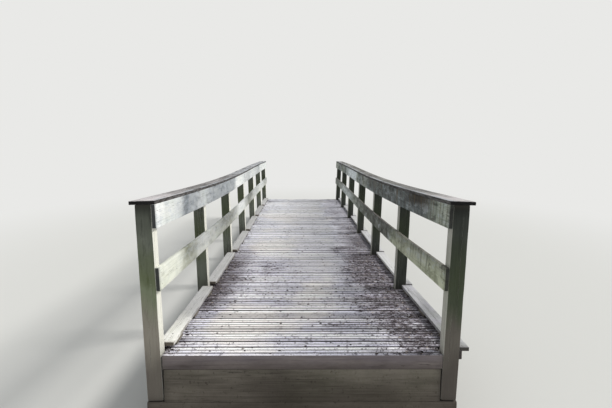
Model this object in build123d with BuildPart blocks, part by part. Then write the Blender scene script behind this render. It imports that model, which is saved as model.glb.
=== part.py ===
from build123d import *
import os
from math import ceil, cos, pi, radians, sin

os.makedirs("parts", exist_ok=True)

# A wooden footbridge. It runs along Y, its near end is at -Y and up is +Z.
# All sizes are in millimetres.

# Plan of the bridge
bay = 1600.0
bay_count = 6
clear_width = 1800.0
post_side = 101.0
post_lean = 1.9

# How far the old timber has settled between its two ends
sag = 44.0
skew = 17.0

# Heights of the rails, measured up from the deck
board_width = 150.0
board_thk = 25.0
mid_rail_height = 415.0
top_rail_height = 812.0
cap_overhang = 35.0
butt_gap = 1.5

# Kerb planks on their blocks. The left ones fit between the posts and stand in the walkway.
# The right ones stand further out, and the near end of each is notched to pass its post.
kerb_width = 100.0
kerb_thk = 28.0
kerb_block_thk = 18.0
kerb_block_length = 180.0
kerb_block_inset = 70.0
left_kerb_reach = 57.0
left_kerb_near_gap = 8.0
left_kerb_far_gap = 50.0
right_kerb_setback = 66.0
right_kerb_skew = 0.4
right_kerb_lap = 89.0
right_kerb_far_gap = 20.0

# Deck boards laid on edge, and the beams under them
deck_thk = 95.0
deck_board_thk = 38.0
deck_board_gap = 12.0
deck_overhang = 3.0
end_plank_thk = 38.0
end_plank_gap = 15.0
stringer_width = 100.0
stringer_depth = 220.0
sill_end_setback = 5.0
sill_width = 220.0
sill_depth = 150.0
post_foot_rise = 12.0

# Clearance left where two settled surfaces bear on each other
seat = 0.3

# Sizes that follow from the ones above
span = bay * bay_count
length = span + post_side
half = length / 2
board_count = round((length + deck_board_gap) / (deck_board_thk + deck_board_gap))
board_pitch = (length - deck_board_thk) / (board_count - 1)
left_kerb_length = bay - post_side - left_kerb_near_gap - left_kerb_far_gap
right_kerb_length = bay - post_side + right_kerb_lap - right_kerb_far_gap
deck_top = sill_depth + stringer_depth + deck_thk
stringer_foot = -deck_thk - stringer_depth
half_clear = clear_width / 2
post_middle = half_clear + post_side / 2
deck_left = half_clear - left_kerb_reach + kerb_width + deck_overhang
deck_right = half_clear + right_kerb_setback + kerb_width + deck_overhang
post_y = [-span / 2 + bay * i for i in range(bay_count + 1)]
cap_height = top_rail_height + board_width
lean = radians(post_lean)
post_foot = stringer_foot + post_foot_rise
sill_half = half_clear + post_side - sill_end_setback


def drop(y):
    t = (y + half) / length
    return sag * sin(pi * t) + skew * sin(2 * pi * t)


def side_plane(side, offset):
    # Plane of a parapet at a distance outward from the inner faces of the posts.
    up = Vector(side * sin(lean), 0, cos(lean))
    out = Vector(side * cos(lean), 0, -sin(lean))
    start = Vector(side * half_clear, 0, deck_top)
    return Plane(origin=start + out * offset, x_dir=Vector(0, 1, 0), z_dir=Vector(0, 1, 0).cross(up))


def level_plane(x):
    # Upright plane along the bridge, with its heights measured from the deck.
    return Plane(origin=(x, 0, deck_top), x_dir=(0, 1, 0), z_dir=(1, 0, 0))


def kerb_plane(side, reach, skew_angle, y_start):
    # Upright plane of a kerb's inner face. The kerb reaches into the walkway past the
    # inner faces of the posts, or stands back from them if the reach is below zero, and
    # is turned so that its near end stands further out.
    turn = radians(-side * skew_angle)
    start = (side * (half_clear - reach), y_start, deck_top)
    return Plane(origin=start, x_dir=(sin(turn), cos(turn), 0), z_dir=(cos(turn), -sin(turn), 0))


def curve_points(y_start, y_end, height):
    steps = max(4, round((y_end - y_start) / bay * 4))
    return [
        (y_start + (y_end - y_start) * k / steps, height - drop(y_start + (y_end - y_start) * k / steps))
        for k in range(steps + 1)
    ]


def outline(y_start, y_end, low, high):
    # Side view of a member that follows the settled line of the bridge.
    lower = Spline(*curve_points(y_start, y_end, low))
    upper = Spline(*curve_points(y_start, y_end, high))
    Line(lower @ 0, upper @ 0)
    Line(lower @ 1, upper @ 1)


def four_sided(y_start, y_end, low_start, low_end, high_start, high_end):
    # Side view with upright ends and straight lower and upper edges.
    Polyline((y_start, low_start), (y_end, low_end), (y_end, high_end), (y_start, high_start), close=True)


def straight(y_start, y_end, low, high):
    # Side view of a short straight piece that lies along the settled line.
    four_sided(
        y_start, y_end, low - drop(y_start), low - drop(y_end), high - drop(y_start), high - drop(y_end)
    )


def write(piece, label):
    piece.part.label = label
    export_step(piece.part, f"parts/{label}.step")


# Posts, each leaning out from the walkway, cut on top to the slope of the cap
posts = {}
for side, name in ((-1, "left"), (1, "right")):
    for i, y in enumerate(post_y):
        y_near = y - post_side / 2
        y_far = y + post_side / 2
        with BuildPart() as post:
            with BuildSketch(side_plane(side, 0)):
                with BuildLine():
                    straight(y_near, y_far, post_foot, cap_height - seat)
                make_face()
            extrude(amount=side * post_side)
        posts[(side, i)] = post.part
        write(post, f"{name}_post_{i + 1}")

# Rails and caps, each line in two lengths that meet on the middle post
for side, name in ((-1, "left"), (1, "right")):
    for half_name, y_start, y_end in (("near", -half, -butt_gap / 2), ("far", butt_gap / 2, half)):
        with BuildPart() as mid_rail:
            with BuildSketch(side_plane(side, -board_thk)):
                with BuildLine():
                    outline(y_start, y_end, mid_rail_height, mid_rail_height + board_width)
                make_face()
            extrude(amount=side * board_thk)
        write(mid_rail, f"{name}_mid_rail_{half_name}")

        with BuildPart() as top_rail:
            with BuildSketch(side_plane(side, -board_thk)):
                with BuildLine():
                    outline(y_start, y_end, top_rail_height, cap_height)
                make_face()
            extrude(amount=side * board_thk)
        write(top_rail, f"{name}_top_rail_{half_name}")

        with BuildPart() as cap:
            with BuildSketch(side_plane(side, -board_thk)):
                with BuildLine():
                    outline(y_start, y_end, cap_height, cap_height + board_thk)
                make_face()
            extrude(amount=side * (board_thk + post_side + cap_overhang))
        write(cap, f"{name}_cap_{half_name}")

# Deck boards on edge, gathered by bay. They run out to the outer edges of the kerbs,
# except beside a post, where each stops at the post's inner face.
for i in range(bay_count):
    first = 0 if i == 0 else ceil((post_y[i] + half) / board_pitch)
    last = board_count if i == bay_count - 1 else ceil((post_y[i + 1] + half) / board_pitch)
    with BuildPart() as deck:
        for k in range(first, last):
            y_board = -half + k * board_pitch
            y_middle = y_board + deck_board_thk / 2
            x_start, x_end = -deck_left, deck_right
            if any(abs(y_middle - y) < (post_side + deck_board_thk) / 2 for y in post_y):
                x_start, x_end = -min(deck_left, post_middle), min(deck_right, post_middle)
            with BuildSketch(level_plane(x_start)):
                with BuildLine():
                    straight(y_board, y_board + deck_board_thk, -deck_thk, 0)
                make_face()
            extrude(amount=x_end - x_start)
        for side in (-1, 1):
            add(posts[(side, i)], mode=Mode.SUBTRACT)
            add(posts[(side, i + 1)], mode=Mode.SUBTRACT)
    write(deck, f"deck_bay_{i + 1}")

# Straight kerb planks, and blocks cut to fit between each plank and the deck. The lap is
# how far a plank's near end runs back beside its post, from the post's far face.
for side, name, reach, lap, plank_length, skew_angle in (
    (-1, "left", left_kerb_reach, -left_kerb_near_gap, left_kerb_length, 0.0),
    (1, "right", -right_kerb_setback, right_kerb_lap, right_kerb_length, right_kerb_skew),
):
    with BuildPart() as kerb:
        for y_post in post_y[:-1]:
            y_start = y_post + post_side / 2 - lap
            low_start = kerb_block_thk + seat - drop(y_start)
            low_end = kerb_block_thk + seat - drop(y_start + plank_length)
            with BuildSketch(kerb_plane(side, reach, skew_angle, y_start)):
                with BuildLine():
                    four_sided(
                        0, plank_length, low_start, low_end, low_start + kerb_thk, low_end + kerb_thk
                    )
                make_face()
            extrude(amount=side * kerb_width)
        for i in range(bay_count):
            add(posts[(side, i)], mode=Mode.SUBTRACT)
    write(kerb, f"{name}_kerb_planks")

    with BuildPart() as blocks:
        for y_post in post_y[:-1]:
            y_start = y_post + post_side / 2 - lap
            top_start = kerb_block_thk - drop(y_start)
            slope = (drop(y_start) - drop(y_start + plank_length)) / plank_length
            y_first = max(lap, 0) + kerb_block_inset
            y_last = plank_length - kerb_block_inset - kerb_block_length
            for y_block in (y_first, (y_first + y_last) / 2, y_last):
                y_block_end = y_block + kerb_block_length
                with BuildSketch(kerb_plane(side, reach, skew_angle, y_start)):
                    with BuildLine():
                        four_sided(
                            y_block,
                            y_block_end,
                            seat - drop(y_start + y_block),
                            seat - drop(y_start + y_block_end),
                            top_start + slope * y_block,
                            top_start + slope * y_block_end,
                        )
                    make_face()
                extrude(amount=side * kerb_width)
    write(blocks, f"{name}_kerb_blocks")

# Planks that close the ends of the beams, under the deck and between the end posts
for end, name in ((-1, "near"), (1, "far")):
    y_start = -half if end < 0 else half - end_plank_thk
    with BuildPart() as end_plank:
        with BuildSketch(level_plane(end_plank_gap - half_clear)):
            with BuildLine():
                straight(y_start, y_start + end_plank_thk, stringer_foot, -deck_thk - seat)
            make_face()
        extrude(amount=2 * (half_clear - end_plank_gap))
    write(end_plank, f"{name}_end_plank")

# Beams under the deck, the outer two let in around the posts
for name, x_start in (
    ("left_stringer", -half_clear),
    ("middle_stringer", -stringer_width / 2),
    ("right_stringer", half_clear - stringer_width),
):
    with BuildPart() as stringer:
        with BuildSketch(level_plane(x_start)):
            with BuildLine():
                outline(-half + end_plank_thk, half - end_plank_thk, stringer_foot, -deck_thk - seat)
            make_face()
        extrude(amount=stringer_width)
        if name != "middle_stringer":
            side = -1 if name == "left_stringer" else 1
            for i in range(bay_count + 1):
                add(posts[(side, i)], mode=Mode.SUBTRACT)
    write(stringer, name)

# Sills that the bridge rests on, their tops cut to the slope of the stringers
for end, name in ((-1, "near"), (1, "far")):
    y_start = -half if end < 0 else half - sill_width
    y_end = y_start + sill_width
    with BuildPart() as sill:
        with BuildSketch(level_plane(-sill_half)):
            with BuildLine():
                top_start = stringer_foot - seat - drop(y_start)
                top_end = stringer_foot - seat - drop(y_end)
                four_sided(y_start, y_end, -deck_top, -deck_top, top_start, top_end)
            make_face()
        extrude(amount=2 * sill_half)
    write(sill, f"{name}_sill")
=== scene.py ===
from collections import namedtuple
from math import ceil, cos, exp, pi, radians, sin, sqrt
import random

import bpy
from mathutils import Matrix, Vector, noise


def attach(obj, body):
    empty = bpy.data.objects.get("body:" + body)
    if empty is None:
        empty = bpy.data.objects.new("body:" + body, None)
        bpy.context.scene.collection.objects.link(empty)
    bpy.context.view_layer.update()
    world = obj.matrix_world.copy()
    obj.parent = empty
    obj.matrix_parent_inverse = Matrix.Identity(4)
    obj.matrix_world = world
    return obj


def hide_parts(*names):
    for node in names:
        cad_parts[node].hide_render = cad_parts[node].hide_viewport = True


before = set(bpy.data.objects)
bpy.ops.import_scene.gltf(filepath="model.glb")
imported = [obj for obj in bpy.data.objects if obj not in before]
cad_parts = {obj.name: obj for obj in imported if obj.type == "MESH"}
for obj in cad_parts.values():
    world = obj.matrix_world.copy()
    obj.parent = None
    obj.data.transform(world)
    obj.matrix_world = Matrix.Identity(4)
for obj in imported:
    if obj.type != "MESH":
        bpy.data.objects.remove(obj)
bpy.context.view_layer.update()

# Sizes of the bridge in metres, as in the solids
BAY = 1.6
BAY_COUNT = 6
CLEAR_WIDTH = 1.8
POST_SIDE = 0.101
POST_LEAN = radians(1.9)
SAG = 0.044
SKEW = 0.017
BOARD_WIDTH = 0.15
BOARD_THK = 0.025
MID_RAIL_HEIGHT = 0.415
TOP_RAIL_HEIGHT = 0.812
CAP_OVERHANG = 0.035
BUTT_GAP = 0.0015
KERB_WIDTH = 0.1
KERB_THK = 0.028
KERB_BLOCK_THK = 0.018
KERB_BLOCK_LENGTH = 0.18
KERB_BLOCK_INSET = 0.07
KERB_REACH = {-1: 0.057, 1: -0.066}
KERB_LAP = {-1: -0.008, 1: 0.089}
KERB_FAR_GAP = {-1: 0.05, 1: 0.02}
KERB_SKEW = {-1: 0.0, 1: radians(0.4)}
DECK_THK = 0.095
DECK_BOARD_THK = 0.038
DECK_BOARD_GAP = 0.012
DECK_OVERHANG = 0.003
END_PLANK_THK = 0.038
END_PLANK_GAP = 0.015
STRINGER_WIDTH = 0.1
STRINGER_DEPTH = 0.22
SILL_END_SETBACK = 0.005
SILL_WIDTH = 0.22
SILL_DEPTH = 0.15
POST_FOOT_RISE = 0.012
SEAT = 0.0003

SPAN = BAY * BAY_COUNT
LENGTH = SPAN + POST_SIDE
HALF = LENGTH / 2
BOARD_COUNT = round((LENGTH + DECK_BOARD_GAP) / (DECK_BOARD_THK + DECK_BOARD_GAP))
BOARD_PITCH = (LENGTH - DECK_BOARD_THK) / (BOARD_COUNT - 1)
DECK_TOP = SILL_DEPTH + STRINGER_DEPTH + DECK_THK
HALF_CLEAR = CLEAR_WIDTH / 2
DECK_END = {side: HALF_CLEAR - KERB_REACH[side] + KERB_WIDTH + DECK_OVERHANG for side in (-1, 1)}
POST_Y = [-SPAN / 2 + BAY * i for i in range(BAY_COUNT + 1)]
CAP_HEIGHT = TOP_RAIL_HEIGHT + BOARD_WIDTH
CAP_WIDTH = BOARD_THK + POST_SIDE + CAP_OVERHANG
STRINGER_FOOT = -DECK_THK - STRINGER_DEPTH
POST_FOOT = STRINGER_FOOT + POST_FOOT_RISE
SILL_HALF = HALF_CLEAR + POST_SIDE - SILL_END_SETBACK
SIDES = ((-1, "left"), (1, "right"))
UP = Vector((0, 0, 1))

# Sawn ends: how much they narrow, and how far in their wear and their stain reach
END_PINCH = 0.0015
END_WEAR = 0.02
END_STAIN = 0.03

# Room left round the posts by boards, by notched planks and by the beams beside them
POST_CLEARANCE = 0.001
NOTCH_GAP = 0.0012
HOUSING = 0.011

# Heads and crumbs start this far under a worn surface. Nails stand apart where two boards meet
HEAD_SINK = 0.0022
NAIL_RADIUS = 0.0042
BUTT_NAIL = 0.024
CRUMB_COUNT = 9000
CRUMB_REACH = 0.93

# Soil in a gap: its steps across, how far it runs into the boards, and its lowest and highest level
SOIL_STEPS = 150
SOIL_OVERLAP = 0.001
SOIL_LOW = 0.048
SOIL_HIGH = 0.004

# Heights between which the materials pass from the mid rail to the top rail
BETWEEN_RAILS = (1.12, 1.18)

# Where the deck is trodden dirty (above 0) or pale (below 0), the pale patches partly worn wood and partly
# painted sunlight: x, y, reach across, reach along, and how much
DECK_PATCHES = (
    (-0.46, -4.08, 0.4, 0.42, -0.95),
    (-0.7, -2.86, 0.1, 0.22, -0.1),
    (-0.5, -2.7, 0.34, 0.6, 0.34),
    (-0.52, -1.15, 0.36, 0.3, -0.8),
    (-0.35, 1.8, 0.5, 0.4, -0.7),
    (0.25, 1.8, 0.16, 0.25, -0.6),
    (0.27, -4.27, 0.14, 0.07, 0.55),
    (0.72, -2.45, 0.28, 0.5, 0.45),
    (-0.78, -3.55, 0.14, 0.5, 0.5),
    (-0.68, -2.85, 0.14, 0.25, 0.3),
)


def drop(y):
    """How far the old timber has settled at a place along the bridge."""
    t = (y + HALF) / LENGTH
    return SAG * sin(pi * t) + SKEW * sin(2 * pi * t)


def beside(side, out, y, height):
    """A point of a leaning parapet, out from the posts' inner faces and up from the deck."""
    up = height - drop(y)
    x = HALF_CLEAR + out * cos(POST_LEAN) + up * sin(POST_LEAN)
    return Vector((side * x, y, DECK_TOP - out * sin(POST_LEAN) + up * cos(POST_LEAN)))


def level(x, y, height):
    """A point at a height over the settled deck."""
    return Vector((x, y, DECK_TOP + height - drop(y)))


def deck_end(side, y, width=DECK_BOARD_THK):
    """How far out a deck board reaches, which is less beside a post."""
    if any(abs(y - post) < (POST_SIDE + width) / 2 + POST_CLEARANCE for post in POST_Y):
        return HALF_CLEAR - DECK_THK * sin(POST_LEAN) - POST_CLEARANCE
    return DECK_END[side]


def clamped(value):
    return max(0.0, min(1.0, value))


def soiled(x, y):
    """How dirty the deck is at a point: above 0 trodden soil, below 0 paler wood, partly worn and partly
    painted sunlight.
    """
    far = clamped((y + 2.0) / 4.0)
    right = clamped((x - 0.28 - 0.25 * far) / 0.5)
    left = clamped((-x - 0.6) / 0.24)
    value = (0.85 - 0.45 * far) * right + (0.55 - 0.3 * far) * left - 0.12
    for strength, place in ((0.42, (x * 2.3, y * 1.2, 3.1)), (0.3, (x * 6.5, y * 4.1, 8.7)),
                            (0.18, (x * 17, y * 13, 5.2))):
        value += strength * noise.noise(Vector(place))
    for x_patch, y_patch, across, along, amount in DECK_PATCHES:
        value += amount * exp(-((x - x_patch) / across) ** 2 - ((y - y_patch) / along) ** 2)
    return max(-1.0, min(1.0, value))


def srgb(red, green, blue):
    """A colour written as it looks on screen, in the shader's own numbers."""
    def linear(part):
        part = part / 255
        return part / 12.92 if part <= 0.04045 else ((part + 0.055) / 1.055) ** 2.4
    return (linear(red), linear(green), linear(blue), 1.0)


class Pile:
    """Verts and faces of many pieces, gathered for one mesh, with what the materials read from them."""

    def __init__(self):
        self.verts = []
        self.faces = []
        self.values = {"grain": [], "marks": [], "section": [], "edge": []}

    def point(self, place, grain=(0, 0, 0), marks=(0, 0, 0), section=(0, 0, 0), edge=0.0):
        self.verts.append(place)
        for name, value in (("grain", grain), ("marks", marks), ("section", section), ("edge", edge)):
            self.values[name].append(value)
        return len(self.verts) - 1

    def skin(self, rings, mirrored=False):
        """Faces between rings of verts that follow each other."""
        for last, ring in zip(rings, rings[1:]):
            for a, b, c, d in zip(last, last[1:] + last[:1], ring[1:] + ring[:1], ring):
                self.faces.append((d, c, b, a) if mirrored else (a, b, c, d))

    def make(self, name, material, slot, *nodes):
        mesh = bpy.data.meshes.new(name)
        mesh.from_pydata(self.verts, [], self.faces)
        for label in ("grain", "marks", "section"):
            layer = mesh.attributes.new(label, "FLOAT_VECTOR", "POINT")
            layer.data.foreach_set("vector", [part for value in self.values[label] for part in value])
        layer = mesh.attributes.new("edge", "FLOAT", "POINT")
        layer.data.foreach_set("value", self.values["edge"])
        mesh.materials.append(material)
        mesh.shade_smooth()
        mesh.set_sharp_from_angle(angle=radians(48))
        mesh.update()
        piece = bpy.data.objects.new(name, mesh)
        bpy.context.scene.collection.objects.link(piece)
        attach(piece, "root")
        if nodes:
            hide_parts(*nodes)


# A drying crack that runs along one face of a piece of timber
Crack = namedtuple("Crack", "face across start end depth width")


def opened(crack, s):
    """How far a crack gapes at a place along the timber, from 0 to 1."""
    if not crack.start < s < crack.end:
        return 0.0
    t = (s - crack.start) / (crack.end - crack.start)
    return min(1.0, 4 * t, 4 * (1 - t))


def long_cracks(rand, length, count, face, depth, width):
    """Cracks spread over the length and width of one face, none close beside another."""
    found = []
    for _ in range(count):
        across = rand.uniform(0.12, 0.88)
        start = rand.uniform(-0.2, length * 0.85)
        if all(abs(crack.across - across) > 0.09 for crack in found):
            found.append(Crack(face, across, start, start + rand.uniform(0.5, 1.8), depth, width))
    return found


def stations(length, step, breaks=()):
    """Places along a piece of timber, close together at its ends."""
    ends = (0.0015, 0.006, 0.02, 0.05) if length > 0.16 else (0.0015, 0.006)
    count = max(2, ceil((length - 2 * ends[-1]) / step))
    inner = [ends[-1] + (length - 2 * ends[-1]) * k / count for k in range(1, count)]
    return sorted([0.0, *ends, *inner, *breaks, *[length - e for e in ends], length])


def face_lines(face, count, span, cracks):
    """The lines along one face of a timber: where each is across it, its kind and its crack."""
    own = [crack for crack in cracks if crack.face == face]
    lines = [((k + 1) / (count + 1), "plain", None) for k in range(count)]
    lines = [line for line in lines if all(abs(line[0] - c.across) > 3.5 * c.width / span for c in own)]
    for crack in own:
        for kind, move in (("lip", -0.5), ("bottom", 0), ("lip", 0.5)):
            lines.append((crack.across + move * crack.width / span, kind, crack))
    lines.sort(key=lambda line: line[0])
    return [(0.0, "plain", None), *lines, (1.0, "plain", None)]


def timber(pile, rand, place, length, size_a, size_b, step, radius, wear, mids, cracks=(), spread=1.0,
           cover=None, breaks=()):
    """A sawn length with worn edges. place(s, a, b) gives the point s along it, a and b across it."""
    seed = rand.uniform(0, 99)
    tone = rand.uniform(-spread, spread)
    half_a, half_b = size_a / 2, size_b / 2
    shift = Vector((seed * 7.31 % 50, seed * 3.17 % 20, seed * 5.93 % 20))
    pith = (0.11 * sin(seed * 3.3), 0.11 * cos(seed * 5.1))
    corners = ((-1, -1), (1, -1), (1, 1), (-1, 1))
    outward = ((0, -1), (1, 0), (0, 1), (-1, 0))
    lines = [face_lines(face, mids[face % 2], (size_a, size_b)[face % 2], cracks) for face in range(4)]

    def ring(s):
        points = []
        for face in range(4):
            ca, cb = corners[face]
            na, nb = corners[(face + 1) % 4]
            out_a, out_b = outward[face]
            worn = abs(noise.noise(Vector((s * 6, face * 9.0 + 4.5, seed * 1.7))))
            rounder = 0.5 * exp(-s / END_WEAR) + 0.5 * exp(-(length - s) / END_WEAR)
            r = min(radius * (0.7 + 0.9 * worn + rounder), half_a * 0.45, half_b * 0.45)
            k = sqrt(0.5) * r * 0.92
            points.append((ca * (half_a - r + k), cb * (half_b - r + k), 1.0))
            start = (ca * (half_a if out_a else half_a - r), cb * (half_b if out_b else half_b - r))
            end = (na * (half_a if out_a else half_a - r), nb * (half_b if out_b else half_b - r))
            for t, kind, crack in lines[face]:
                inset = wear * (0.5 + 0.5 * noise.noise(Vector((s * 9, t * 3 + face * 5.0, seed * 2.3))))
                if crack:
                    gape = opened(crack, s)
                    gape *= 0.75 + 0.5 * noise.noise(Vector((s * 25, crack.across * 30, seed)))
                    middle = crack.across
                    middle += 0.02 * noise.noise(Vector((s * 4, seed * 0.7, crack.across * 9)))
                    if kind == "bottom":
                        t = middle
                        inset += crack.depth * gape
                    else:
                        t = middle + (t - crack.across) * (0.15 + 0.85 * gape)
                a = start[0] + (end[0] - start[0]) * t - out_a * inset
                b = start[1] + (end[1] - start[1]) * t - out_b * inset
                points.append((a, b, 0.0))
        return points

    rings = []
    for s in stations(length, step, breaks):
        end_near = min(s, length - s)
        pinch = END_PINCH if end_near == 0 else 0.0
        row = []
        for a, b, edge in ring(s):
            a = a * (1 - pinch / half_a)
            b = b * (1 - pinch / half_b)
            at = place(s, a, b)
            covered = cover(at) if cover else 0.0
            row.append(pile.point(
                at, (s + shift.x, a + shift.y, b + shift.z), (tone, exp(-end_near / END_STAIN), covered),
                (a + pith[0], b + pith[1], 0.0), edge))
        rings.append(row)

    # A small move each way tells whether place() turns the faces inside out
    move = 0.001
    origin = place(0, 0, 0)
    along, across, up = (place(*at) - origin for at in ((move, 0, 0), (0, move, 0), (0, 0, move)))
    mirrored = along.dot(across.cross(up)) < 0
    pile.skin(rings, mirrored)
    for row, turned in ((rings[0], not mirrored), (rings[-1], mirrored)):
        cap = []
        for v in row:
            a, b, _ = pile.values["section"][v]
            marks = (tone, 1.0, pile.values["marks"][v][2])
            cap.append(pile.point(pile.verts[v], pile.values["grain"][v], marks, (a, b, 1.0)))
        pile.faces.append(tuple(reversed(cap)) if turned else tuple(cap))


def nail(pile, rand, centre, axis, radius, height, parts=8):
    """A nail or screw head that stands on a surface along an axis."""
    tone = rand.uniform(-1, 1)
    axis = axis.normalized()
    across = axis.orthogonal().normalized()
    other = axis.cross(across)
    rings = []
    for reach, rise in ((1.0, 0.0), (0.96, 0.5), (0.72, 0.85), (0.35, 1.0)):
        row = []
        for k in range(parts):
            turn = across * cos(2 * pi * k / parts) + other * sin(2 * pi * k / parts)
            row.append(pile.point(centre + axis * rise * height + turn * radius * reach, marks=(tone, 0, 0)))
        rings.append(row)
    pile.skin(rings)
    pile.faces.append(tuple(rings[-1]))


class Graph:
    """Short calls that build the nodes of a material or of the world."""

    def __init__(self, tree):
        self.tree = tree

    def fill(self, node, inputs):
        for key, value in inputs.items():
            if isinstance(value, bpy.types.NodeSocket):
                self.tree.links.new(value, node.inputs[key])
            else:
                node.inputs[key].default_value = value

    def node(self, kind, inputs=None, **settings):
        made = self.tree.nodes.new(f"ShaderNode{kind}")
        for key, value in settings.items():
            setattr(made, key, value)
        self.fill(made, inputs or {})
        return made

    def math(self, operation, *values):
        return self.node("Math", dict(enumerate(values)), operation=operation).outputs[0]

    def times(self, product, *factors):
        for factor in factors:
            product = self.math("MULTIPLY", product, factor)
        return product

    def plus(self, first, second, share=None):
        """Adds a share of the second, or all of it."""
        return self.math("ADD", first, self.times(second, share) if share else second)

    def rest(self, value):
        """What is left of 1."""
        return self.math("SUBTRACT", 1.0, value)

    def vector(self, operation, *values, output=0):
        made = self.node("VectorMath", dict(enumerate(values)), operation=operation)
        return made.outputs[output]

    def split(self, vector):
        return self.node("SeparateXYZ", {0: vector}).outputs

    def join(self, x, y, z):
        return self.node("CombineXYZ", {0: x, 1: y, 2: z}).outputs[0]

    def attribute(self, name, output="Vector"):
        return self.node("Attribute", attribute_name=name).outputs[output]

    def noise(self, vector, scale, roughness=0.55, detail=3, distortion=0.0):
        """Noise, with one scale or one for each axis."""
        scale = scale if isinstance(scale, tuple) else (scale,) * 3
        return self.node("TexNoise", {
            "Vector": self.vector("MULTIPLY", vector, scale), "Scale": 1.0, "Detail": detail,
            "Roughness": roughness, "Distortion": distortion}).outputs["Fac"]

    def ramp(self, value, low, high, start=0.0, end=1.0):
        return self.node("MapRange", {
            "Value": value, "From Min": low, "From Max": high, "To Min": start, "To Max": end,
        }, interpolation_type="SMOOTHSTEP").outputs["Result"]

    def steps(self, value, *stops):
        """A smooth curve through (value, result) pairs, results from 0 to 1."""
        low, high = stops[0][0], stops[-1][0]
        share = self.node("MapRange", {"Value": value, "From Min": low, "From Max": high})
        made = self.node("ValToRGB", {0: share.outputs["Result"]})
        made.color_ramp.interpolation = "EASE"
        elements = made.color_ramp.elements
        while len(elements) < len(stops):
            elements.new(0.5)
        for element, (at, result) in zip(elements, stops):
            element.position = (at - low) / (high - low)
            element.color = (result, result, result, 1)
        return made.outputs["Color"]

    def mix(self, factor, first, second, blend="MIX"):
        return self.node("Mix", {0: factor, 6: first, 7: second}, data_type="RGBA",
                         blend_type=blend, clamp_result=True).outputs[2]

    def bump(self, height, strength, distance, **normal):
        return self.node("Bump", {
            "Height": height, "Strength": strength, "Distance": distance, **normal}).outputs["Normal"]


class Surface(Graph):
    """A material with its colour so far, and what its nodes read from the object."""

    def __init__(self, name):
        self.material = bpy.data.materials.new(name)
        self.material.use_nodes = True
        super().__init__(self.material.node_tree)
        self.shader = self.tree.nodes["Principled BSDF"]
        geometry = self.node("NewGeometry").outputs
        self.position = geometry["Position"]
        self.x, self.y, self.z = self.split(self.position)
        self.facing_x, _, self.facing_up = self.split(geometry["Normal"])
        self.tone, self.end_near, self.cover = self.split(self.attribute("marks"))
        self.colour = None

    def patches(self, scale, roughness=0.7, detail=4, distortion=0.0):
        """Noise that is fixed to the place on the object."""
        return self.noise(self.position, scale, roughness, detail, distortion)

    def blend(self, factor, first, second):
        """Starts the colour between two others, all of them written as they look on screen."""
        self.colour = self.mix(factor, srgb(*first), srgb(*second))

    def tint(self, colour, *factors):
        """Mixes in a colour, written as it looks on screen, by the product of the factors."""
        self.colour = self.mix(self.times(*factors), self.colour, srgb(*colour))

    def settled(self):
        """Height above the ground with the bridge's sag taken out."""
        t = self.times(self.plus(self.y, HALF), pi / LENGTH)
        twice = self.math("SINE", self.times(t, 2.0))
        return self.plus(self.z, self.plus(self.times(self.math("SINE", t), SAG), twice, SKEW))

    def finish(self, inputs):
        """Gives the shader its colour and its other inputs."""
        self.fill(self.shader, {"Base Color": self.colour, **inputs})
        return self.material


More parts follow.
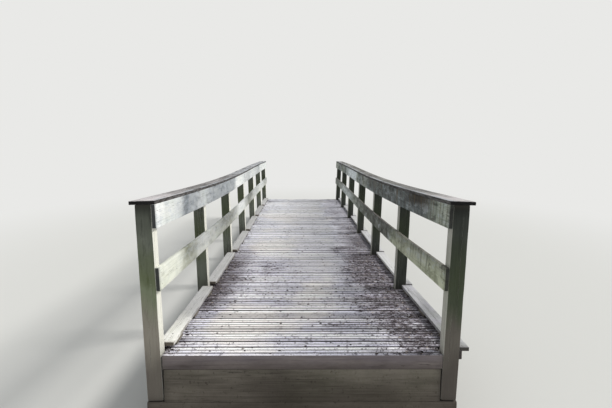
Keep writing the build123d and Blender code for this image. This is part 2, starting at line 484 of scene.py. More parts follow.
def timber_material(name, member, pale, mid, dark, ends=(66, 62, 57), green=(96, 104, 74), algae=0.3,
                    stains=0.0, cracks=0.5, knots=0.5, lichen=0.0, edges=(214, 214, 208), varied=0.13):
    """Weathered softwood: silvered fibres, growth rings, cracks, knots, water stains and algae."""
    g = Surface(name)
    grain = g.attribute("grain")
    section_a, section_b, cap = g.split(g.attribute("section"))

    bend = g.times(g.noise(grain, (2.2, 14, 14), detail=2), 0.012)
    warped = g.vector("ADD", grain, g.join(0.0, bend, bend))
    streaks = g.noise(warped, (3.0, 120, 120), 0.65, 4)
    fibres = g.noise(warped, (18, 700, 700), 0.6, 2)
    ring = g.node("TexWave", {
        "Vector": g.join(g.times(g.split(grain)[0], 0.1), section_a, section_b),
        "Scale": 42, "Distortion": 3.5, "Detail": 2, "Detail Scale": 0.35,
    }, wave_type="RINGS", rings_direction="X", wave_profile="SIN").outputs["Fac"]
    g.blend(g.ramp(g.noise(grain, (1.6, 9, 9)), 0.32, 0.68), mid, pale)
    g.tint(dark, g.ramp(ring, 0.45, 1.0), 0.18)
    g.tint(dark, g.ramp(streaks, 0.52, 0.75), 0.5)
    g.tint(pale, g.ramp(streaks, 0.48, 0.28), 0.45)
    g.tint(dark, g.ramp(fibres, 0.5, 0.8), 0.25)

    lines = g.noise(warped, (1.5, 60, 60), 0.5, distortion=0.3)
    where = g.ramp(g.noise(grain, (2.4, 16, 16), detail=1), 0.62 - 0.25 * cracks, 0.75 - 0.2 * cracks)
    crack = g.times(g.ramp(g.math("ABSOLUTE", g.plus(lines, -0.5)), 0.012, 0.0), where,
                    min(1.0, 0.5 + cracks * 0.6))
    g.tint((34, 30, 27), crack)

    cells = g.node("TexVoronoi", {
        "Vector": g.vector("MULTIPLY", warped, (2.6, 9, 9)), "Scale": 1.0}, feature="F1")
    g.tint((58, 49, 42), g.ramp(cells.outputs["Distance"], 0.16, 0.05), 0.75 * knots)
    g.tint(edges, g.ramp(g.attribute("edge", "Fac"), 0.35, 1.0),
           g.ramp(g.patches(24, 0.55, 3), 0.35, 0.6), 0.45)
    if stains:
        g.tint(dark, g.ramp(g.patches((2.0, 9.0, 1.6), 0.6), 0.48, 0.7), stains)
    if algae:
        fine = g.ramp(g.patches(60, 0.55, 2), 0.25, 0.6)
        g.tint(green, g.ramp(g.patches((3.2, 3.2, 2.4), 0.6), 0.4, 0.66), fine, algae)
    if lichen:
        field = g.ramp(g.patches(2.1, 0.55, 2), 0.45, 0.6)
        g.tint((178, 186, 160), g.ramp(g.patches(38, 0.6, 3), 0.6, 0.66), field, lichen)
    soil = member(g)

    g.tint(ends, g.ramp(g.end_near, 0.15, 1.0), 0.45)
    end_grain = g.mix(g.ramp(ring, 0.3, 0.9), srgb(*[0.62 * part for part in ends]), srgb(*ends))
    g.colour = g.mix(g.times(cap, 0.9), g.colour, end_grain)
    brightness = g.plus(1.0, g.tone, varied)
    g.colour = g.mix(1.0, g.colour, g.join(brightness, brightness, brightness), "MULTIPLY")

    relief = g.plus(g.plus(g.times(streaks, -0.6), fibres, -0.25), ring, -0.12)
    normal = g.bump(g.plus(relief, crack, -1.2), 0.55, 0.0022)
    if soil:
        normal = g.bump(soil, 0.6, 0.004, Normal=normal)
    rough = g.ramp(streaks, 0.3, 0.7, 0.78, 0.95)
    return g.finish({"Roughness": rough, "Specular IOR Level": 0.25, "Normal": normal})


def deck_member(g):
    """Soil trodden into the boards, pale patches of worn wood and painted sunlight, painted sunlight and
    shade across the deck, and painted shade on the faces down in the gaps.
    """
    y = g.y
    top = g.ramp(g.facing_up, 0.45, 0.88)
    side = g.rest(top)
    cloud = g.plus(g.patches((9, 7, 1), 0.65), -0.5)
    waver = g.plus(g.x, cloud, 0.5)
    amount = g.plus(g.cover, cloud, 0.6)
    worked = g.times(top, g.ramp(y, -3.0, 2.5, 1.0, 0.35))
    # Pale patches, partly worn wood and partly painted sunlight
    pale_worn_and_sunlit = g.times(g.ramp(amount, -0.05, -0.55), top)
    streaked = g.patches((2.6, 44, 1))
    flecks = g.patches((62, 88, 60), 0.75)

    g.tint((242, 243, 254), g.ramp(y, -2.5, 1.0), 0.92)
    # Pale patches: worn wood and painted sunlight
    g.tint((250, 244, 242), pale_worn_and_sunlit, 0.85)
    g.tint((112, 104, 112), g.ramp(g.patches((5, 26, 1)), 0.53, 0.7), worked, 0.34)
    g.tint((108, 102, 113), g.ramp(streaked, 0.53, 0.66), worked, 0.46)
    g.tint((244, 241, 246), g.ramp(streaked, 0.45, 0.33), top, 0.5)
    film = g.times(g.ramp(amount, 0.02, 0.7), g.ramp(g.patches((15, 19, 1)), 0.38, 0.58, 0.5, 1.0))
    g.tint((112, 104, 113), film, top, 0.82)

    # Specks and crumbs of soil, thicker where the deck is dirty
    level_needed = g.ramp(amount, -0.35, 0.8, 0.7, 0.47)
    clods = g.ramp(g.math("SUBTRACT", g.patches((26, 22, 22)), level_needed), 0.0, 0.05)
    speck = g.times(clods, top)
    g.tint((60, 51, 53), speck, 0.75)
    crumb = g.times(g.ramp(g.patches(70, detail=3), 0.58, 0.66), g.ramp(amount, -0.2, 0.5), top)
    g.tint((48, 41, 42), crumb, 0.7)
    g.tint((60, 52, 57), g.ramp(flecks, 0.58, 0.65), top, 0.66)
    g.tint((242, 240, 248), g.ramp(flecks, 0.42, 0.34), top, 0.42)
    dashes = g.plus(g.patches((44, 20, 1), 0.6, 3), cloud, 0.2)
    g.tint((76, 68, 72), g.ramp(dashes, 0.57, 0.64), worked, 0.6)

    # Paler far on and in the pale patches of wear and painted sunlight, a painted pool of sunlight down the
    # middle, painted shade under the right rails, and darker along the left kerb
    g.tint((240, 241, 255), g.ramp(y, -2.2, 1.5), 0.3, top)
    g.tint((255, 250, 245), pale_worn_and_sunlit, 0.38)
    # Painted pool of sunlight down the middle of the deck
    trodden = g.times(g.ramp(waver, -0.22, 0.02), g.ramp(waver, 0.54, 0.34), g.ramp(y, -3.3, -2.5))
    g.tint((238, 236, 242), trodden, top, 0.5)
    # Painted shade under the right rails, on the right side of the deck
    g.tint((88, 82, 88), g.ramp(waver, 0.42, 0.66), g.ramp(y, -2.4, -1.4), top, 0.46)
    by_kerb = g.times(g.ramp(waver, -0.52, -0.74), g.ramp(y, -4.1, -3.7), g.ramp(y, -0.9, -1.7))
    g.tint((84, 76, 80), by_kerb, 0.46, top)

    # Painted shade on the faces down in the gaps and on the rounded edges
    g.colour = g.mix(side, g.colour, srgb(142, 134, 128), "MULTIPLY")
    splash = g.plus(g.z, g.patches((5, 5, 12)), 0.1)
    g.tint((66, 58, 53), g.ramp(splash, 0.5, 0.42), side, 0.6)
    outer, inner = HALF - 0.0015, HALF - 0.0055
    g.tint((38, 34, 34), side, g.ramp(y, -outer, -inner), g.ramp(y, outer, inner), 0.8)
    return g.plus(speck, crumb)


def post_member(g):
    """Faces to the walkway carry painted sunlight; the rest has painted shade under the cap and is soiled at
    the foot.
    """
    cloud = g.plus(g.patches((5, 5, 2), 0.6), -0.5)
    clouded = g.plus(g.z, cloud, 0.5)
    painted_cap_shade = g.ramp(g.plus(g.settled(), cloud, 0.08), 1.33, 1.43)
    inward = g.ramp(g.times(g.x, g.facing_x, -1.0), 0.3, 0.8)
    right = g.ramp(g.x, -0.3, 0.3)
    mottle = g.patches((26, 26, 5))
    # Painted light on the left posts, on the faces away from the walkway
    g.tint((168, 174, 156), g.rest(right), g.rest(inward), 0.42)
    g.tint((40, 44, 38), g.ramp(mottle, 0.52, 0.66), 0.38)
    g.tint((150, 156, 138), g.ramp(mottle, 0.47, 0.34), 0.26)
    g.tint((122, 134, 88), g.ramp(clouded, 0.62, 0.8), g.ramp(clouded, 1.1, 0.9), 0.4)
    g.tint((72, 84, 34), g.ramp(clouded, 0.84, 0.96), g.ramp(clouded, 1.22, 1.08), 0.45)
    # Painted shade on the right posts
    g.tint((44, 50, 44), right, 0.66)
    # Painted shade on the upper posts under the rails and cap, deepest just under the cap
    g.tint((38, 40, 39), g.ramp(clouded, 0.98, 1.38), g.plus(0.62, right, 0.12))
    g.tint((14, 16, 14), painted_cap_shade, 0.7)
    g.tint((180, 158, 152), g.ramp(clouded, 0.84, 0.6), g.ramp(g.y, -3.4, -4.4), g.plus(0.38, right, -0.2))
    # Painted sunlight on the faces to the walkway, strongest on the left posts
    g.tint((244, 243, 232), inward, g.ramp(cloud, -0.25, 0.1, 0.75, 0.98), g.ramp(g.x, -0.3, 0.3, 1.0, 0.45))
    # Painted shade on the posts past the first bay, on the faces away from the walkway
    g.tint((40, 43, 40), g.ramp(g.y, -4.2, -3.2), g.rest(inward), 0.3)
    g.tint((78, 72, 68), g.ramp(g.plus(g.z, cloud, 0.3), 0.6, 0.34), 0.62)


def left_rail_member(g):
    """Silver lengths and lengths in painted shadow by turns, the mid rail greenish near the first post and
    lighter at its foot in painted light.
    """
    cloud = g.plus(g.patches((4, 2.2, 6), 0.6), -0.5)
    blotch = g.patches((9, 4, 14), 0.65)
    along = g.plus(g.y, cloud, 0.4)
    upper = g.ramp(g.z, *BETWEEN_RAILS)
    # Painted tree shadows: lengths of each rail greyed by turns, with darker blotches in them
    top_rail = g.steps(
        along, (-4.85, 0.0), (-4.4, 0.15), (-4.0, 0.88), (-3.3, 0.42), (-2.8, 0.78), (-1.35, 0.72),
        (-1.0, 0.0), (-0.4, 0.05), (0.4, 0.35), (1.3, 0.12), (2.5, 0.5), (3.2, 0.0))
    mid_rail = g.steps(
        along, (-4.85, 0.0), (-4.35, 0.05), (-4.08, 1.0), (-3.55, 0.42), (-1.8, 0.9), (-1.2, 0.55),
        (-0.9, 0.0), (-0.4, 0.1), (0.5, 0.95), (1.6, 0.4), (3.3, 0.15), (4.2, 0.6))
    painted_shadow = g.node("Mix", {0: upper, 2: mid_rail, 3: top_rail}, data_type="FLOAT").outputs[0]
    grey = g.mix(upper, srgb(102, 103, 92), srgb(100, 107, 116))
    g.colour = g.mix(g.times(painted_shadow, g.ramp(blotch, 0.25, 0.6, 0.75, 1.0)), g.colour, grey)
    g.tint((82, 86, 86), g.ramp(blotch, 0.52, 0.68), g.ramp(painted_shadow, 0.2, 0.6), 0.55)
    g.tint((176, 184, 194), g.ramp(g.patches((12, 9, 34)), 0.46, 0.64), 0.34)
    # Painted light on the lower part of the mid rail
    g.tint((250, 252, 232), g.ramp(g.settled(), 0.985, 0.9), g.rest(upper), 0.14)
    g.tint((244, 246, 214), g.ramp(along, -3.6, -4.7), g.ramp(upper, 1.0, 0.0), 0.35)
    g.tint((128, 131, 124), g.ramp(g.times(g.x, g.facing_x), 0.3, 0.8), 0.45)


def right_rail_member(g):
    """Stained, blotched and mottled, with a leak from the cap near the first post and pale further on."""
    cloud = g.plus(g.patches((4, 2.2, 6), 0.6), -0.5)
    blotch = g.patches((8, 5, 16), 0.65, distortion=0.4)
    mottle = g.patches((16, 21, 10), 0.75, distortion=0.7)
    along = g.plus(g.y, cloud, 0.5)
    height = g.plus(g.settled(), cloud, 0.05)
    upper = g.ramp(g.z, *BETWEEN_RAILS)
    lower = g.rest(upper)
    outward = g.ramp(g.times(g.x, g.facing_x), 0.3, 0.8)
    top_rail = g.steps(
        along, (-4.85, 0.0), (-4.55, 0.1), (-4.2, 0.8), (-1.4, 0.76), (-0.75, 0.2), (-0.3, 0.6),
        (0.2, 0.1), (1.6, 0.2), (2.2, 0.6), (2.8, 0.15), (3.55, 0.6), (4.2, 0.1))
    mid_rail = g.steps(
        along, (-4.85, 0.0), (-3.1, 0.1), (-2.8, 0.8), (-1.1, 0.8), (-0.5, 0.45), (0.5, 0.3),
        (1.2, 0.1), (3.0, 0.1), (4.2, 0.45))
    pale_top = g.times(g.ramp(along, 0.0, 0.35), g.ramp(along, 2.3, 1.2), upper)
    pale_mid = g.times(g.ramp(along, 0.3, 1.3), g.ramp(along, 3.8, 2.2), lower)
    pale = g.times(g.plus(pale_top, pale_mid, 0.55), g.rest(outward))
    marked = g.plus(1.0, pale, -0.6)
    g.tint((218, 216, 176), g.ramp(along, -2.9, -3.4), lower, 0.24)
    g.tint((74, 84, 94), top_rail, upper)
    g.tint((80, 80, 72), mid_rail, lower)
    g.tint((246, 253, 255), pale, 0.97)
    g.tint((112, 113, 104), outward, 0.52)
    g.tint((38, 40, 36), g.ramp(blotch, 0.51, 0.61), marked, g.plus(0.6, outward, -0.44))
    g.tint((192, 200, 204), g.ramp(blotch, 0.46, 0.37), g.plus(0.52, outward, -0.42))

    # A finer mottle in fields on the inner faces, faint at the near end
    field = g.times(g.ramp(g.patches((2.6, 2.6, 5), 0.55, 2), 0.4, 0.58, 0.35, 1.0),
                    g.ramp(along, -4.7, -4.0, 0.45, 1.0))
    inner = g.times(g.rest(outward), marked, field)
    g.tint((44, 46, 42), g.ramp(mottle, 0.5, 0.59), inner, 0.56)
    g.tint((180, 186, 182), g.ramp(mottle, 0.47, 0.37), inner, 0.34)
    g.tint((60, 58, 54), lower, inner, 0.12)
    g.tint((54, 54, 48), g.ramp(g.patches((3, 22, 3), 0.6), 0.53, 0.64), marked, 0.46)

    # Edges of the boards, with painted light on the mid rail's lower part near the first bay and painted
    # shade along its upper part, and what runs down from the cap
    g.tint((214, 220, 186), g.ramp(height, 0.98, 0.91), g.ramp(along, -2.8, -3.2), lower, 0.32)
    # Painted shade along the upper part of the mid rail
    g.tint((72, 70, 66), g.ramp(height, 0.96, 1.03), lower, 0.42)
    g.tint((84, 76, 76), g.ramp(g.facing_up, 0.4, 0.9), 0.55)
    near_leak = g.ramp(g.math("ABSOLUTE", g.plus(along, 4.0)), 0.55, 0.1)
    g.tint((48, 41, 32), near_leak, g.ramp(height, 1.31, 1.4), 0.9)
    drips = g.times(g.ramp(g.patches((3, 30, 1.6), 0.65), 0.5, 0.6), upper)
    g.tint((92, 78, 52), drips, g.ramp(height, 1.24, 1.42, 0.35, 1.0), g.ramp(along, 0.2, -0.8), 0.7)


def cap_member(g):
    """Deep weathering in ridges on the top, with grime between them, a painted highlight at the near end and
    along the inner edge, and rot with painted shade on the sides and underside.
    """
    top = g.ramp(g.facing_up, 0.3, 0.8)
    ridges = g.patches((70, 1.6, 1), distortion=0.4)
    grime = g.patches((7, 2.5, 1), 0.65)
    along = g.plus(g.y, grime, 0.8)
    left = g.ramp(g.x, 0.3, -0.3)
    near = g.ramp(along, -3.2, -4.2)
    # Painted highlight on the near end of the cap tops, strongest on the left
    g.tint((230, 224, 226), g.plus(0.55, left, 0.3), near, top)
    g.tint((70, 68, 66), g.rest(near), 0.15)
    g.tint((206, 210, 216), left, g.ramp(along, -1.0, 0.2), top, 0.55)
    deep = g.times(g.ramp(ridges, 0.44, 0.6), g.ramp(grime, 0.32, 0.58))
    g.tint((54, 50, 48), deep, g.plus(1.0, near, -0.35), top, 0.8)
    g.tint((188, 185, 182), g.ramp(ridges, 0.42, 0.3), top, 0.5)
    # A paler strip along the inner top edge: wear from hands and a painted highlight
    worn_and_lit_edge = g.times(g.ramp(g.math("ABSOLUTE", g.x), 0.96, 0.922), g.ramp(grime, 0.62, 0.44))
    g.tint((172, 177, 184), worn_and_lit_edge, top, 0.8)
    # Sides and underside darker: rot and painted shade
    rot_and_shade = g.ramp(g.patches((30, 9, 60), 0.65), 0.6, 0.4, 0.62, 0.95)
    g.tint((44, 41, 40), g.rest(top), rot_and_shade)
    return g.times(ridges, -0.5)


def kerb_member(g):
    """Grime on the sides, where soil lies against the planks, and a greyer tone past the first bay."""
    cloud = g.patches(9, 0.65)
    along = g.plus(g.y, cloud, 0.4)
    left = g.ramp(g.x, 0.3, -0.3)
    g.tint((104, 94, 86), g.ramp(g.facing_up, 0.6, 0.2), g.ramp(cloud, 0.35, 0.6), 0.65)
    g.tint((92, 84, 78), g.ramp(g.patches((42, 30, 30), detail=3), 0.6, 0.7), 0.5)
    g.tint((140, 140, 145), left, g.ramp(along, -4.35, -3.8), 0.64)
    g.tint((238, 238, 236), g.rest(left), g.ramp(along, -3.1, -2.6), g.ramp(along, -1.9, -1.2, 0.62, 0.32))


def beam_member(g):
    """Damp and soil-stained towards the ground, where the ends were banked up."""
    cloud = g.plus(g.patches((4, 4, 5), 0.65), -0.5)
    splash = g.patches((40, 40, 30), detail=3)
    g.tint((70, 62, 56), g.ramp(g.plus(g.z, cloud, 0.28), 0.4, 0.05), 0.72)
    g.tint((58, 50, 45), g.ramp(splash, 0.58, 0.68), 0.55)
    return splash


def soil_material():
    """Soil trodden into the gaps, dustier where it lies high."""
    g = Surface("packed_soil")
    grit = g.patches(160)
    g.blend(g.ramp(g.patches(14, 0.55, 3), 0.35, 0.65), (30, 27, 27), (54, 48, 48))
    g.tint((92, 84, 85), g.ramp(grit, 0.55, 0.7), 0.4)
    g.tint((122, 113, 117), g.tone, 0.85)
    return g.finish({"Roughness": 0.95, "Specular IOR Level": 0.1, "Normal": g.bump(grit, 0.7, 0.003)})


def crumb_material():
    """Crumbs of soil and bark, from near black to dusty brown."""
    g = Surface("soil_crumbs")
    grit = g.patches(260, 0.55, 3)
    g.blend(g.ramp(g.tone, -1.0, 0.7), (42, 36, 37), (100, 90, 90))
    g.tint((196, 184, 176), g.ramp(g.tone, 0.72, 0.95))
    g.tint((54, 47, 46), g.ramp(grit, 0.5, 0.7), 0.5)
    return g.finish({"Roughness": 0.95, "Specular IOR Level": 0.1, "Normal": g.bump(grit, 0.6, 0.002)})


def nail_material():
    """Zinc that has dulled and begun to rust."""
    g = Surface("rusted_zinc")
    rust = g.plus(g.patches(130, 0.55, 3), g.tone, 0.12)
    g.blend(g.ramp(rust, 0.42, 0.6), (126, 126, 124), (88, 62, 46))
    metal, rough = g.ramp(rust, 0.6, 0.42, 0.0, 0.6), g.ramp(rust, 0.4, 0.62, 0.55, 0.9)
    return g.finish({"Metallic": metal, "Roughness": rough, "Normal": g.bump(rust, 0.4, 0.001)})


# Each kind of timber: what its member adds, its pale, middle and dark colours, and what sets it apart
CAP = dict(cracks=0.9, knots=0.3)
KERB = dict(cracks=0.6, knots=0.35)
TIMBERS = {
    "left_rail": (left_rail_member, (250, 251, 250), (232, 236, 235), (150, 154, 150), dict(
        ends=(38, 41, 44), green=(170, 180, 140), algae=0.18, stains=0.22, cracks=0.45)),
    "right_rail": (right_rail_member, (216, 221, 210), (176, 183, 171), (86, 91, 84), dict(
        ends=(50, 51, 50), green=(124, 138, 100), algae=0.42, stains=0.5, lichen=0.3)),
    "left_cap": (cap_member, (188, 184, 185), (142, 139, 139), (62, 58, 57), dict(
        CAP, ends=(24, 23, 25), algae=0.15, lichen=0.2)),
    "right_cap": (cap_member, (170, 169, 168), (120, 119, 117), (50, 48, 46), dict(
        CAP, ends=(20, 19, 22), algae=0.22, lichen=0.35)),
    "post": (post_member, (134, 138, 128), (100, 104, 96), (54, 57, 51), dict(
        green=(92, 100, 76), edges=(158, 162, 150), algae=0.26, stains=0.35, cracks=0.7, knots=0.35,
        lichen=0.12)),
    "left_kerb": (kerb_member, (250, 249, 245), (230, 229, 222), (156, 151, 143), dict(
        KERB, ends=(120, 110, 98), green=(176, 182, 150), algae=0.2)),
    "right_kerb": (kerb_member, (200, 199, 205), (154, 153, 160), (90, 88, 90), dict(
        KERB, ends=(86, 82, 78), green=(138, 148, 126), algae=0.28, lichen=0.3)),
    "deck": (deck_member, (251, 249, 255), (228, 227, 244), (138, 135, 151), dict(
        ends=(104, 98, 94), edges=(244, 240, 244), algae=0.0, cracks=0.6, knots=0.3, varied=0.26)),
    "beam": (beam_member, (140, 133, 123), (104, 98, 90), (56, 51, 46), dict(
        green=(88, 92, 68), edges=(148, 140, 128), algae=0.22, stains=0.4, knots=0.4)),
}
MATERIALS = {
    kind: timber_material(f"{kind}_timber", member, pale, mid, dark, **apart)
    for kind, (member, pale, mid, dark, apart) in TIMBERS.items()
}
SOIL = soil_material()
CRUMBS = crumb_material()
NAILS = nail_material()


def finish_timber(pile, node, kind, slot=None):
    """Makes the piece that replaces a node, in one kind of timber."""
    pile.make(f"{node}_timber", MATERIALS[kind], slot or f"{kind}_timber", node)


def build_posts():
    """Posts, with two drying cracks down each face."""
    rand = random.Random(11)
    for side, side_name in SIDES:
        for i, y_post in enumerate(POST_Y):
            pile = Pile()
            cracks = []
            for face in range(4):
                for across in (rand.uniform(0.2, 0.42), rand.uniform(0.58, 0.8)):
                    start = rand.uniform(0.1, 0.8)
                    cracks.append(Crack(face, across, start, start + rand.uniform(0.25, 0.7), 0.009, 0.003))

            def place(s, a, b):
                return beside(side, POST_SIDE / 2 + b, y_post + a, POST_FOOT + s)

            timber(pile, rand, place, CAP_HEIGHT - SEAT - POST_FOOT, POST_SIDE, POST_SIDE,
                   step=0.035, radius=0.005, wear=0.0012, mids=(4, 4), cracks=cracks)
            finish_timber(pile, f"{side_name}_post_{i + 1}", "post")


def build_rails():
    """Rails and caps, each side in two lengths that meet on the middle post."""
    rand = random.Random(23)
    # Each kind's name, sizes across, middle outward, cracks, and how it is cut and worn
    rail = ("rail", BOARD_THK, BOARD_WIDTH, -BOARD_THK / 2, (4, 3, 0.006, 0.0026),
            dict(step=0.05, radius=0.0028, wear=0.001, mids=(1, 6), spread=0.5))
    cap = ("cap", CAP_WIDTH, BOARD_THK, CAP_WIDTH / 2 - BOARD_THK, (12, 2, 0.009, 0.0042),
           dict(step=0.035, radius=0.0045, wear=0.002, mids=(8, 1), spread=0.4))
    boards = (("mid_rail", MID_RAIL_HEIGHT, rail), ("top_rail", TOP_RAIL_HEIGHT, rail),
              ("cap", CAP_HEIGHT, cap))
    for side, side_name in SIDES:
        for half_name, y_start, y_end in (("near", -HALF, -BUTT_GAP / 2), ("far", BUTT_GAP / 2, HALF)):
            length = y_end - y_start
            for board, foot, (kind, size_a, size_b, out, cracks, worn) in boards:
                pile = Pile()
                cracks = long_cracks(rand, length, *cracks)

                def place(s, a, b):
                    return beside(side, out + a, y_start + s, foot + size_b / 2 + b)

                timber(pile, rand, place, length, size_a, size_b, cracks=cracks, **worn)
                finish_timber(pile, f"{side_name}_{board}_{half_name}", f"{side_name}_{kind}")


def build_deck():
    """Deck boards on edge, by bay, some lying a little lower or tilted."""
    rand = random.Random(37)
    firsts = [0, *[ceil((y + HALF) / BOARD_PITCH) for y in POST_Y[1:-1]], BOARD_COUNT]
    for i in range(BAY_COUNT):
        pile = Pile()
        for k in range(firsts[i], firsts[i + 1]):
            y_board = -HALF + k * BOARD_PITCH + DECK_BOARD_THK / 2
            x_start = rand.uniform(0, 0.006) - deck_end(-1, y_board)
            x_end = deck_end(1, y_board) - rand.uniform(0, 0.006)
            low = 0.0003 + 0.0042 * rand.random() ** 1.5
            tilt = rand.uniform(-0.02, 0.02)

            def place(s, a, b):
                sunk = (low + tilt * a + abs(tilt) * DECK_BOARD_THK / 2) * (b / DECK_THK + 0.5)
                return level(x_start + s, y_board + a, b - DECK_THK / 2 - sunk)

            timber(pile, rand, place, x_end - x_start, DECK_BOARD_THK, DECK_THK, step=0.085,
                   radius=0.0038, wear=0.0016, mids=(2, 1), cover=lambda at: soiled(at.x, at.y))
        pile.make(f"deck_bay_{i + 1}_boards", MATERIALS["deck"], "deck_timber", f"deck_bay_{i + 1}")


def build_soil():
    """Ragged soil in the gaps between the deck boards, high where the deck is dirty and in odd plugs."""
    pile = Pile()
    for k in range(BOARD_COUNT - 1):
        near = -HALF + k * BOARD_PITCH + DECK_BOARD_THK - SOIL_OVERLAP
        far = near + BOARD_PITCH - DECK_BOARD_THK + 2 * SOIL_OVERLAP
        middle = (near + far) / 2
        x_start, x_end = (side * (deck_end(side, middle, BOARD_PITCH) - 0.012) for side in (-1, 1))
        last = None
        for step in range(SOIL_STEPS + 1):
            x = x_start + (x_end - x_start) * step / SOIL_STEPS
            depth = SOIL_LOW - (SOIL_LOW - 0.006) * clamped(soiled(x, middle) * 1.3 - 0.1)
            plug = noise.noise(Vector((x * 9, middle * 31, 6.3)))
            plug += 0.6 * noise.noise(Vector((x * 31, middle * 47, 2.2)))
            depth += (SOIL_HIGH - depth) * clamped((plug - 0.2) * 5)
            depth += 0.0015 * noise.noise(Vector((x * 60, middle * 40, 1.9)))
            dust = (clamped(1.15 - depth / 0.022), 0, 0)
            row = [pile.point(level(x, y, -depth - extra), marks=dust) for y, extra in
                   ((near, 0.002), (middle, 0.0), (far, 0.002))]
            if last:
                for part in range(2):
                    pile.faces.append((last[part + 1], last[part], row[part], row[part + 1]))
            last = row
    pile.make("deck_gap_soil", SOIL, "deck_timber")


def build_crumbs():
    """Loose crumbs on the boards, thick where the deck is dirty."""
    rand = random.Random(71)
    pile = Pile()
    made = 0
    while made < CRUMB_COUNT:
        y_board = -HALF + rand.randrange(BOARD_COUNT) * BOARD_PITCH + DECK_BOARD_THK / 2
        y = y_board + rand.uniform(-0.013, 0.013)
        x = rand.uniform(-deck_end(-1, y_board), deck_end(1, y_board))
        if rand.random() > 0.1 + 1.2 * max(0.0, soiled(x, y)) or abs(x) > CRUMB_REACH:
            continue
        made += 1
        size = 0.002 + 0.0075 * rand.random() ** 4
        turn = rand.uniform(0, pi)
        marks = (rand.uniform(-1, 1), 0, 0)
        centre = level(x, y, size * 0.15 - HEAD_SINK)
        ring = []
        for k in range(5):
            angle = turn + 2 * pi * k / 5
            reach = size * rand.uniform(0.7, 1.25)
            corner = Vector((cos(angle) * reach * 1.3, sin(angle) * reach * 0.8, -0.1 * size))
            ring.append(pile.point(centre + corner, marks=marks))
        top = pile.point(centre + UP * (size * rand.uniform(0.5, 0.9)), marks=marks)
        foot = pile.point(centre - UP * (size * 0.5), marks=marks)
        for k in range(5):
            pile.faces.append((ring[k], ring[(k + 1) % 5], top))
            pile.faces.append((ring[(k + 1) % 5], ring[k], foot))
    pile.make("deck_soil_crumbs", CRUMBS, "deck_timber")


def build_kerbs():
    """Kerb planks, the blocks under them and a screw over each block."""
    rand = random.Random(41)
    for side, side_name in SIDES:
        planks, blocks, heads = Pile(), Pile(), Pile()
        lap = KERB_LAP[side]
        length = BAY - POST_SIDE + lap - KERB_FAR_GAP[side]
        turn = -side * KERB_SKEW[side]
        along = Vector((sin(turn), cos(turn), 0))
        out = Vector((cos(turn), -sin(turn), 0)) * side
        for y_post in POST_Y[:-1]:
            y_start = y_post + POST_SIDE / 2 - lap
            slope = (drop(y_start) - drop(y_start + length)) / length
            start = Vector((side * (HALF_CLEAR - KERB_REACH[side]), y_start, DECK_TOP - drop(y_start)))
            rise = KERB_BLOCK_THK + SEAT + KERB_THK / 2

            def notch(s):
                """How much of the inner edge is cut away beside the post."""
                at = start + along * s
                up = at.z + rise + slope * s - KERB_THK / 2 - DECK_TOP
                face = HALF_CLEAR + POST_SIDE / cos(POST_LEAN) + (up + KERB_THK) * sin(POST_LEAN)
                return face + NOTCH_GAP - side * at.x

            def place(s, a, b):
                if lap > 0 and s < lap + NOTCH_GAP:
                    kept = KERB_WIDTH - notch(s)
                    a = KERB_WIDTH / 2 + (a - KERB_WIDTH / 2) * kept / KERB_WIDTH
                return start + along * s + out * (KERB_WIDTH / 2 + a) + UP * (rise + b + slope * s)

            cracks = long_cracks(rand, length, 3, 2, 0.008, 0.0036)
            timber(planks, rand, place, length, KERB_WIDTH, KERB_THK, step=0.04, radius=0.006, wear=0.002,
                   mids=(5, 1), cracks=cracks, breaks=(lap + 0.001, lap + 0.0015) if lap > 0 else ())
            first = max(lap, 0) + KERB_BLOCK_INSET
            last = length - KERB_BLOCK_INSET - KERB_BLOCK_LENGTH
            for block_start in (first, (first + last) / 2, last):
                def block_place(s, a, b):
                    at = block_start + s
                    low = SEAT + drop(y_start) - drop(y_start + at)
                    high = KERB_BLOCK_THK + slope * at
                    up = low + (high - low) * (b / KERB_BLOCK_THK + 0.5)
                    return start + along * at + out * (KERB_WIDTH / 2 + a) + UP * up

                timber(blocks, rand, block_place, KERB_BLOCK_LENGTH, KERB_WIDTH, KERB_BLOCK_THK,
                       step=0.06, radius=0.003, wear=0.001, mids=(2, 1))
                centre = block_start + KERB_BLOCK_LENGTH / 2
                top = KERB_BLOCK_THK + KERB_THK + SEAT + slope * centre - HEAD_SINK
                point = start + along * centre + out * (KERB_WIDTH / 2 + rand.uniform(-0.01, 0.01))
                nail(heads, rand, point + UP * top, UP, 0.0065, 0.0018, parts=10)
        finish_timber(planks, f"{side_name}_kerb_planks", f"{side_name}_kerb", "kerb_timber")
        finish_timber(blocks, f"{side_name}_kerb_blocks", "beam")
        heads.make(f"{side_name}_kerb_screws", NAILS, "kerb_timber")


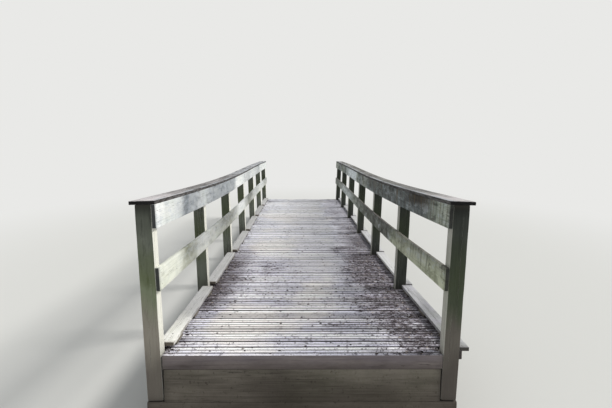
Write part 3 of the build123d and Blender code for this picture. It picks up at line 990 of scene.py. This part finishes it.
def build_beams():
    """Beams, sills and end planks. The outer beams are let in around the posts, so they are drawn slimmer."""
    rand = random.Random(53)
    run = HALF - END_PLANK_THK
    plank_half = HALF_CLEAR - END_PLANK_GAP
    middle = (STRINGER_FOOT - DECK_THK - SEAT) / 2
    depth = STRINGER_DEPTH - SEAT
    outer = HALF_CLEAR - STRINGER_WIDTH / 2
    for name, side in (("left_stringer", -1), ("middle_stringer", 0), ("right_stringer", 1)):
        housing = abs(side) * HOUSING

        def place(s, a, b):
            return level(side * (outer - housing / 2) + a, s - run, middle + b)

        pile = Pile()
        timber(pile, rand, place, 2 * run, STRINGER_WIDTH - housing, depth, step=0.12, radius=0.004,
               wear=0.001, mids=(2, 4))
        finish_timber(pile, name, "beam")

    for end, end_name in ((-1, "near"), (1, "far")):
        def sill_place(s, a, b):
            y = end * (HALF - SILL_WIDTH / 2) + a
            high = DECK_TOP + STRINGER_FOOT - SEAT - drop(y)
            return Vector((s - SILL_HALF, y, high * (b / SILL_DEPTH + 0.5)))

        def plank_place(s, a, b):
            return level(s - plank_half, end * (HALF - END_PLANK_THK / 2) + a, middle + b)

        for part, place, half, size_a, size_b, radius, wear, mids in (
            ("sill", sill_place, SILL_HALF, SILL_WIDTH, SILL_DEPTH, 0.006, 0.0, (4, 3)),
            ("end_plank", plank_place, plank_half, END_PLANK_THK, depth, 0.004, 0.001, (1, 5)),
        ):
            pile = Pile()
            timber(pile, rand, place, 2 * half, size_a, size_b, 0.06, radius, wear, mids)
            finish_timber(pile, f"{end_name}_{part}", "beam")


def build_nails():
    """Nails that hold the rails and caps to the posts."""
    rand = random.Random(61)
    for side, side_name in SIDES:
        heads = Pile()
        inward = beside(side, -1, 0, 0) - beside(side, 0, 0, 0)
        for i, y_post in enumerate(POST_Y):
            butt = i == BAY_COUNT // 2
            for rail_foot in (MID_RAIL_HEIGHT, TOP_RAIL_HEIGHT):
                for part in (0.24, 0.76):
                    for y_shift in ((-BUTT_NAIL, BUTT_NAIL) if butt else (rand.uniform(-0.02, 0.02),)):
                        height = rail_foot + BOARD_WIDTH * part + rand.uniform(-0.008, 0.008)
                        point = beside(side, -BOARD_THK + 0.0007, y_post + y_shift, height)
                        nail(heads, rand, point, inward, NAIL_RADIUS, 0.0009)
            for out in (0.014, POST_SIDE - 0.022):
                y = y_post + (BUTT_NAIL if butt else rand.uniform(-0.02, 0.02))
                point = beside(side, out, y, CAP_HEIGHT + BOARD_THK - HEAD_SINK)
                nail(heads, rand, point, UP, NAIL_RADIUS, 0.0012)
        heads.make(f"{side_name}_rail_nails", NAILS, "post_timber")


def build_stage():
    """A pale floor that fades into the background far off, a soft sky and one soft sun."""
    bpy.ops.mesh.primitive_plane_add(size=600, location=(0, 0, 0))
    floor = bpy.context.object
    floor.name = "floor"
    backdrop = srgb(233, 233, 231)
    g = Surface("floor_paint")
    g.fill(g.shader, {"Base Color": srgb(216, 216, 213), "Roughness": 0.95, "Specular IOR Level": 0.0})
    reach = g.vector("LENGTH", g.vector("MULTIPLY", g.position, (1, 0.55, 0)), output="Value")
    seen = g.node("LightPath").outputs["Is Camera Ray"]
    plain = g.node("Emission", {"Color": backdrop})
    blend = g.node("MixShader", {
        0: g.times(g.ramp(reach, 3.2, 9.0), seen), 1: g.shader.outputs[0], 2: plain.outputs[0]})
    g.fill(g.tree.nodes["Material Output"], {"Surface": blend.outputs[0]})
    floor.data.materials.append(g.material)

    world = bpy.data.worlds.new("studio")
    bpy.context.scene.world = world
    world.use_nodes = True
    g = Graph(world.node_tree)
    sky = g.tree.nodes["Background"]
    g.fill(sky, {"Color": (0.95, 0.98, 1.0, 1.0), "Strength": 0.5})
    plain = g.node("Background", {"Color": backdrop, "Strength": 1.0})
    rays = g.node("LightPath").outputs
    either = g.math("MAXIMUM", rays["Is Camera Ray"], rays["Is Glossy Ray"])
    chosen = g.node("MixShader", {0: either, 1: sky.outputs[0], 2: plain.outputs[0]})
    g.fill(g.tree.nodes["World Output"], {"Surface": chosen.outputs[0]})

    sun = bpy.data.lights.new("key", "SUN")
    sun.energy = 2.6
    sun.angle = radians(20)
    sun.color = (1.0, 0.98, 0.94)
    holder = bpy.data.objects.new("key", sun)
    holder.rotation_euler = Vector((-0.7, -0.14, -0.7)).to_track_quat("-Z", "Y").to_euler()
    holder.location = (6, 2.5, 8)
    bpy.context.scene.collection.objects.link(holder)


# The photograph's camera, fitted to the posts and rails
IMAGE_WIDTH = 612
FOCAL_PIXELS = 489.7
CAMERA_BACK = 2.986
CAMERA_OFFSET = -0.0144
CAMERA_HEIGHT = 1.303
CAMERA_PITCH = 0.1122
CAMERA_YAW = 0.0111
CAMERA_ROLL = 0.0029


def build_camera():
    data = bpy.data.cameras.new("photo_camera")
    data.sensor_width = 36
    data.lens = data.sensor_width * FOCAL_PIXELS / IMAGE_WIDTH
    data.clip_end = 1000
    flat = cos(CAMERA_PITCH)
    forward = Vector((sin(CAMERA_YAW) * flat, cos(CAMERA_YAW) * flat, -sin(CAMERA_PITCH)))
    right = Vector((cos(CAMERA_YAW), -sin(CAMERA_YAW), 0))
    up = right.cross(forward)
    rolled_right = right * cos(CAMERA_ROLL) + up * sin(CAMERA_ROLL)
    rolled_up = up * cos(CAMERA_ROLL) - right * sin(CAMERA_ROLL)
    turn = Matrix((rolled_right, rolled_up, -forward)).transposed().to_4x4()
    place = Matrix.Translation((CAMERA_OFFSET, -HALF - CAMERA_BACK, DECK_TOP + CAMERA_HEIGHT))
    camera = bpy.data.objects.new("photo_camera", data)
    camera.matrix_world = place @ turn
    bpy.context.scene.collection.objects.link(camera)
    bpy.context.scene.camera = camera


build_posts()
build_rails()
build_deck()
build_soil()
build_crumbs()
build_kerbs()
build_beams()
build_nails()
build_stage()
build_camera()
bpy.context.scene.view_settings.view_transform = "Standard"
